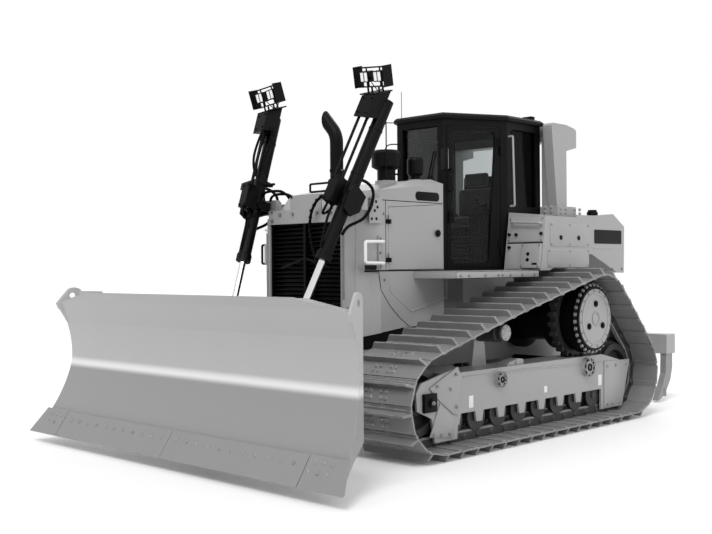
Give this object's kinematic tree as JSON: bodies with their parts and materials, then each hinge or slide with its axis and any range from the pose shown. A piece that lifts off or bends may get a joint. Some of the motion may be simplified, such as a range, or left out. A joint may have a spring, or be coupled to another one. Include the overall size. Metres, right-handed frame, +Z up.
{
  "type": "tracked bulldozer",
  "caption": "Tracked bulldozer: wide curved blade on an angling frame inside the tracks, leaning lift cylinders with lamps, raised rear sprockets, closed cab and roll-over bar, rear tank and curved-shank ripper.",
  "frame": {"origin": "on the ground under the middle of the overall length, on the centre plane", "axes": "+X forward to the blade, +Y to the machine's left, +Z up"},
  "size_m": [6.67, 4.16, 3.4183],
  "materials": {
    "body_paint": "semi-gloss",
    "blade_paint": "worn",
    "black_paint": "satin",
    "track_steel": "dry",
    "worn_steel": "worn",
    "rod_chrome": "polished",
    "window_glass": "clear",
    "seat_fabric": "matt",
    "lamp_plastic": "satin"
  },
  "bodies": {
    "tractor": {"track_left": "track_steel", "track_right": "track_steel", "idlers": "track_steel", "rollers": "track_steel", "sprockets": "track_steel", "final_drives": "black_paint", "roller_frames": "body_paint", "main_frame": "body_paint", "rear_case": "body_paint", "pivot_shafts": "black_paint", "engine": "black_paint", "radiator_guard": "body_paint", "grille": "black_paint", "hood": "body_paint", "exhaust": "black_paint", "precleaners": "black_paint", "fuel_tank": "body_paint", "side_boxes": "body_paint", "platforms": "black_paint", "rops": "body_paint", "cab_shell": "black_paint", "cab_glass": "window_glass", "hinges": "black_paint", "seat": "seat_fabric", "console": "lamp_plastic", "ripper_bracket": "body_paint"},
    "blade_frame": {"blade_frame": "body_paint"},
    "swivel": {"swivel": "body_paint"},
    "blade": {"moldboard": "blade_paint", "cutting_edge": "worn_steel", "tilt_barrel": "black_paint"},
    "tilt_rod": {"tilt_rod": "rod_chrome"},
    "lower_link": {"lower_link": "body_paint"},
    "upper_link": {"upper_link": "body_paint"},
    "ripper_beam": {"ripper_beam": "body_paint", "shanks": "worn_steel"},
    "ripper_barrel": {"ripper_barrel": "black_paint"},
    "ripper_rod": {"ripper_rod": "rod_chrome"},
    "lift_yoke_left": {"lift_yoke_left": "black_paint"},
    "lift_barrel_left": {"lift_barrel_left": "black_paint", "lamps_left": "lamp_plastic"},
    "lift_rod_left": {"lift_rod_left": "rod_chrome"},
    "angle_pivot_left": {"angle_pivot_left": "black_paint"},
    "angle_barrel_left": {"angle_barrel_left": "black_paint"},
    "angle_rod_left": {"angle_rod_left": "rod_chrome"},
    "cab_door_left": {"cab_door_left": "black_paint", "door_glass_left": "window_glass"},
    "service_door_left": {"service_door_left": "body_paint"},
    "lift_yoke_right": {"lift_yoke_right": "black_paint"},
    "lift_barrel_right": {"lift_barrel_right": "black_paint", "lamps_right": "lamp_plastic"},
    "lift_rod_right": {"lift_rod_right": "rod_chrome"},
    "angle_pivot_right": {"angle_pivot_right": "black_paint"},
    "angle_barrel_right": {"angle_barrel_right": "black_paint"},
    "angle_rod_right": {"angle_rod_right": "rod_chrome"},
    "cab_door_right": {"cab_door_right": "black_paint", "door_glass_right": "window_glass"},
    "service_door_right": {"service_door_right": "body_paint"}
  },
  "joints": [
    {"name": "blade_lift", "type": "hinge", "parent": "tractor", "child": "blade_frame", "pos_m": [0.982, 0, 0.56], "axis": [0, -1, 0], "range_deg": [-15, 26]},
    {"name": "blade_angle", "type": "hinge", "parent": "blade_frame", "child": "swivel", "pos_m": [2.7, 0, 0.56], "axis": [0, 0, 1], "range_deg": [-25, 25]},
    {"name": "blade_tilt", "type": "hinge", "parent": "swivel", "child": "blade", "pos_m": [2.81, 0, 0.56], "axis": [1, 0, 0], "range_deg": [-7, 7]},
    {"name": "tilt_rod_slide", "type": "slide", "parent": "blade", "child": "tilt_rod", "axis": [0, 1, 0], "range_m": [-0.08, 0.08]},
    {"name": "lift_yoke_left", "type": "hinge", "parent": "tractor", "child": "lift_yoke_left", "pos_m": [1.78, 0.611, 2.2], "axis": [1, 0, 0], "range_deg": [-8, 8]},
    {"name": "lift_pitch_left", "type": "hinge", "parent": "lift_yoke_left", "child": "lift_barrel_left", "pos_m": [1.78, 0.611, 2.2], "axis": [0, 0.9882, -0.153], "range_deg": [-8, 8]},
    {"name": "lift_slide_left", "type": "slide", "parent": "lift_barrel_left", "child": "lift_rod_left", "axis": [0.3907, -0.1408, -0.9097], "range_m": [-0.65, 0.5]},
    {"name": "angle_yaw_left", "type": "hinge", "parent": "blade_frame", "child": "angle_pivot_left", "pos_m": [1.632, 0.66, 0.76], "axis": [0, 0, 1], "range_deg": [-6, 6]},
    {"name": "angle_swing_left", "type": "hinge", "parent": "angle_pivot_left", "child": "angle_barrel_left", "pos_m": [1.632, 0.66, 0.76], "axis": [-0.0325, 0.9995, 0], "range_deg": [-8, 8]},
    {"name": "angle_slide_left", "type": "slide", "parent": "angle_barrel_left", "child": "angle_rod_left", "axis": [0.9986, 0.0325, -0.0406], "range_m": [-0.31, 0.31]},
    {"name": "cab_door_left", "type": "hinge", "parent": "tractor", "child": "cab_door_left", "pos_m": [-0.4948, 0.615, 2.3], "axis": [0, 0, 1], "range_deg": [0, 105]},
    {"name": "service_door_left", "type": "hinge", "parent": "tractor", "child": "service_door_left", "pos_m": [1.228, 0.616, 1.87], "axis": [0, 0, -1], "range_deg": [0, 100]},
    {"name": "lift_yoke_right", "type": "hinge", "parent": "tractor", "child": "lift_yoke_right", "pos_m": [1.78, -0.611, 2.2], "axis": [-1, 0, 0], "range_deg": [-8, 8]},
    {"name": "lift_pitch_right", "type": "hinge", "parent": "lift_yoke_right", "child": "lift_barrel_right", "pos_m": [1.78, -0.611, 2.2], "axis": [0, 0.9882, 0.153], "range_deg": [-8, 8]},
    {"name": "lift_slide_right", "type": "slide", "parent": "lift_barrel_right", "child": "lift_rod_right", "axis": [0.3907, 0.1408, -0.9097], "range_m": [-0.65, 0.5]},
    {"name": "angle_yaw_right", "type": "hinge", "parent": "blade_frame", "child": "angle_pivot_right", "pos_m": [1.632, -0.66, 0.76], "axis": [0, 0, 1], "range_deg": [-6, 6]},
    {"name": "angle_swing_right", "type": "hinge", "parent": "angle_pivot_right", "child": "angle_barrel_right", "pos_m": [1.632, -0.66, 0.76], "axis": [0.0325, 0.9995, 0], "range_deg": [-8, 8]},
    {"name": "angle_slide_right", "type": "slide", "parent": "angle_barrel_right", "child": "angle_rod_right", "axis": [0.9986, -0.0325, -0.0406], "range_m": [-0.31, 0.31]},
    {"name": "cab_door_right", "type": "hinge", "parent": "tractor", "child": "cab_door_right", "pos_m": [-0.4948, -0.615, 2.3], "axis": [0, 0, -1], "range_deg": [0, 105]},
    {"name": "service_door_right", "type": "hinge", "parent": "tractor", "child": "service_door_right", "pos_m": [1.228, -0.616, 1.87], "axis": [0, 0, 1], "range_deg": [0, 100]},
    {"name": "ripper_lift", "type": "hinge", "parent": "tractor", "child": "lower_link", "pos_m": [-2.25, 0, 0.56], "axis": [0, 1, 0], "range_deg": [-30, 30]},
    {"name": "ripper_level", "type": "hinge", "parent": "lower_link", "child": "ripper_beam", "pos_m": [-3.05, 0, 0.56], "axis": [0, 1, 0], "range_deg": [-38, 38]},
    {"name": "upper_link", "type": "hinge", "parent": "tractor", "child": "upper_link", "pos_m": [-2.25, 0, 0.96], "axis": [0, 1, 0], "range_deg": [-38, 38]},
    {"name": "ripper_swing", "type": "hinge", "parent": "tractor", "child": "ripper_barrel", "pos_m": [-2.23, 0, 1.13], "axis": [0, 1, 0], "range_deg": [-9, 9]},
    {"name": "ripper_slide", "type": "slide", "parent": "ripper_barrel", "child": "ripper_rod", "axis": [-0.4895, 0, -0.872], "range_m": [-0.18, 0.18]}
  ],
  "couplings": [
    {"joint": "tilt_rod_slide", "follows": "blade_tilt", "m_per_rad": 0.398},
    {"joint": "lift_yoke_left", "follows": "blade_lift", "ratio": -0.15},
    {"joint": "lift_pitch_left", "follows": "blade_lift", "ratio": -0.21},
    {"joint": "lift_slide_left", "follows": "blade_lift", "m_per_rad": -1.37},
    {"joint": "angle_yaw_left", "follows": "blade_angle", "ratio": 0.1475},
    {"joint": "angle_swing_left", "follows": "blade_tilt", "ratio": -0.5585},
    {"joint": "angle_slide_left", "follows": "blade_angle", "m_per_rad": -0.675},
    {"joint": "lift_yoke_right", "follows": "blade_lift", "ratio": -0.15},
    {"joint": "lift_pitch_right", "follows": "blade_lift", "ratio": -0.21},
    {"joint": "lift_slide_right", "follows": "blade_lift", "m_per_rad": -1.37},
    {"joint": "angle_yaw_right", "follows": "blade_angle", "ratio": 0.1475},
    {"joint": "angle_swing_right", "follows": "blade_tilt", "ratio": 0.5585},
    {"joint": "angle_slide_right", "follows": "blade_angle", "m_per_rad": 0.675},
    {"joint": "ripper_level", "follows": "ripper_lift", "ratio": -1},
    {"joint": "upper_link", "follows": "ripper_lift", "ratio": 1},
    {"joint": "ripper_swing", "follows": "ripper_lift", "ratio": 0.2252},
    {"joint": "ripper_slide", "follows": "ripper_lift", "m_per_rad": -0.2587}
  ]
}
